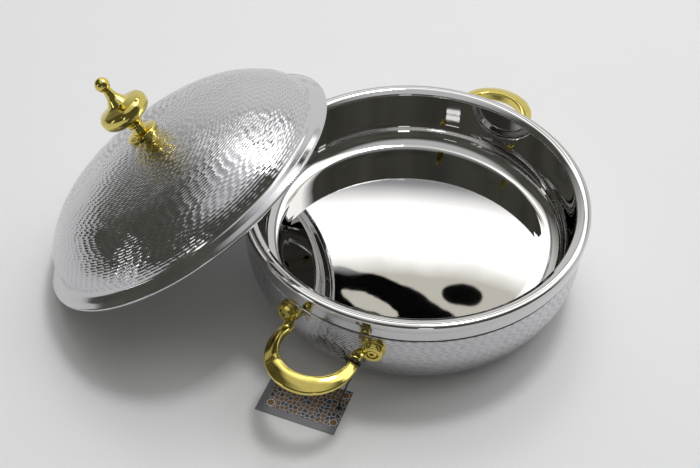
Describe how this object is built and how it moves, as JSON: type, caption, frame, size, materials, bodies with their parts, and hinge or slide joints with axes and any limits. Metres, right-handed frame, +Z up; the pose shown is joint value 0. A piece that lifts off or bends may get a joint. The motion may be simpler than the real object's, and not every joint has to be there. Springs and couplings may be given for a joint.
{
  "type": "insulated casserole with lift-off lid",
  "caption": "Round double-walled steel casserole that keeps flatbreads warm, with a domed lift-off lid leant on its rim, brass loop handles, a brass finial knob and a hang tag.",
  "frame": {"origin": "centre of the foot ring, on the surface the casserole stands on", "axes": "+Z up through the mouth; +X to the right, away from the leaning lid; the front handle points to -Y and a little to -X"},
  "size_m": [0.4126, 0.3378, 0.1584],
  "materials": {
    "hammered_steel": "mirror polished stainless steel with hammered dimples",
    "polished_steel": "mirror polished stainless steel",
    "screw_steel": "plain stainless steel",
    "polished_brass": "polished",
    "foam": "rigid polyurethane foam",
    "plug_plastic": "moulded",
    "printed_card": "printed card",
    "string": "waxed cotton"
  },
  "bodies": {
    "casserole": {"outer_shell": "hammered_steel", "inner_bowl": "polished_steel", "body_insulation": "foam", "fill_plug": "plug_plastic", "tag_card": "printed_card", "tag_bead": "string", "tag_string": "string", "string_tie": "string", "handle_front": "polished_brass", "handle_screws_front": "polished_brass", "handle_nuts_front": "screw_steel", "backing_plate_front": "screw_steel", "handle_back": "polished_brass", "handle_screws_back": "polished_brass", "handle_nuts_back": "screw_steel", "backing_plate_back": "screw_steel"},
    "lid": {"lid_dome": "hammered_steel", "lid_liner": "polished_steel", "lid_insulation": "foam", "knob": "polished_brass", "knob_flange": "polished_brass", "knob_stud": "screw_steel", "lid_washer": "screw_steel", "lid_nut": "screw_steel"}
  },
  "joints": [
    {"name": "lid_lift", "type": "slide", "parent": "casserole", "child": "lid", "axis": [0, 0, 1], "range_m": [0, 0.12]}
  ]
}
